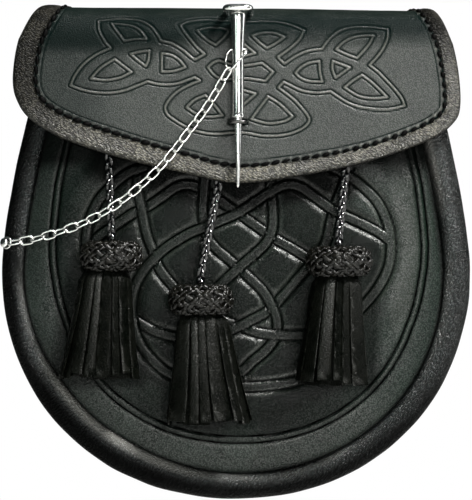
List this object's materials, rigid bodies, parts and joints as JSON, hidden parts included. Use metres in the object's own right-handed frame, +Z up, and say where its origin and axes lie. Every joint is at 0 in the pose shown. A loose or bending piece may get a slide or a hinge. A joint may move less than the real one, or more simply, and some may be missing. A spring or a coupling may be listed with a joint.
{
  "type": "sporran pouch",
  "caption": "Black leather sporran pouch with a tooled flap over its mouth, a chained metal closing pin and hanging leather tassels.",
  "frame": {"origin": "midway between the two belt loops, on the outer face of the back panel, where the pouch hangs", "axes": "+Z up, -Y the front with the flap and the tassels, +Y the back, +X to the right seen from the front"},
  "size_m": [0.196, 0.076, 0.2058],
  "materials": {
    "smooth_leather": "black bridle leather, smooth and lightly waxed, tooled while damp",
    "grained_leather": "black leather with a fine pebble grain, rolled over the edges",
    "cut_leather": "thin black leather cut to strips and laces, with raw edges",
    "bright_nickel": "bright nickel plate, turned and polished",
    "dark_nickel": "dark plated steel wire"
  },
  "bodies": {
    "root": {"back_panel": "smooth_leather", "gusset": "smooth_leather", "front_panel": "smooth_leather", "flap": "smooth_leather", "belt_loop_left": "smooth_leather", "belt_loop_right": "smooth_leather", "front_welt": "grained_leather", "flap_binding": "grained_leather", "hanger_left": "cut_leather", "hanger_middle": "cut_leather", "hanger_right": "cut_leather", "tassel_head_left": "cut_leather", "tassel_head_middle": "cut_leather", "tassel_head_right": "cut_leather", "tassel_skirt_left": "cut_leather", "tassel_skirt_middle": "cut_leather", "tassel_skirt_right": "cut_leather", "closure_pin": "bright_nickel", "pin_keeper": "bright_nickel", "pin_ring": "bright_nickel", "chain_link_01": "bright_nickel", "chain_link_02": "bright_nickel", "chain_link_03": "bright_nickel", "chain_link_04": "bright_nickel", "chain_link_05": "bright_nickel", "chain_link_06": "bright_nickel", "chain_link_07": "bright_nickel", "chain_link_08": "bright_nickel", "chain_link_09": "bright_nickel", "chain_link_10": "bright_nickel", "chain_link_11": "bright_nickel", "chain_link_12": "bright_nickel", "chain_link_13": "bright_nickel", "chain_link_14": "bright_nickel", "chain_link_15": "bright_nickel", "chain_link_16": "bright_nickel", "chain_link_17": "bright_nickel", "chain_link_18": "bright_nickel", "chain_link_19": "bright_nickel", "chain_link_20": "bright_nickel", "chain_link_21": "bright_nickel", "chain_link_22": "bright_nickel", "chain_link_23": "bright_nickel", "chain_link_24": "bright_nickel", "chain_ring": "bright_nickel", "chain_anchor": "bright_nickel", "closure_staple": "dark_nickel"}
  },
  "joints": []
}
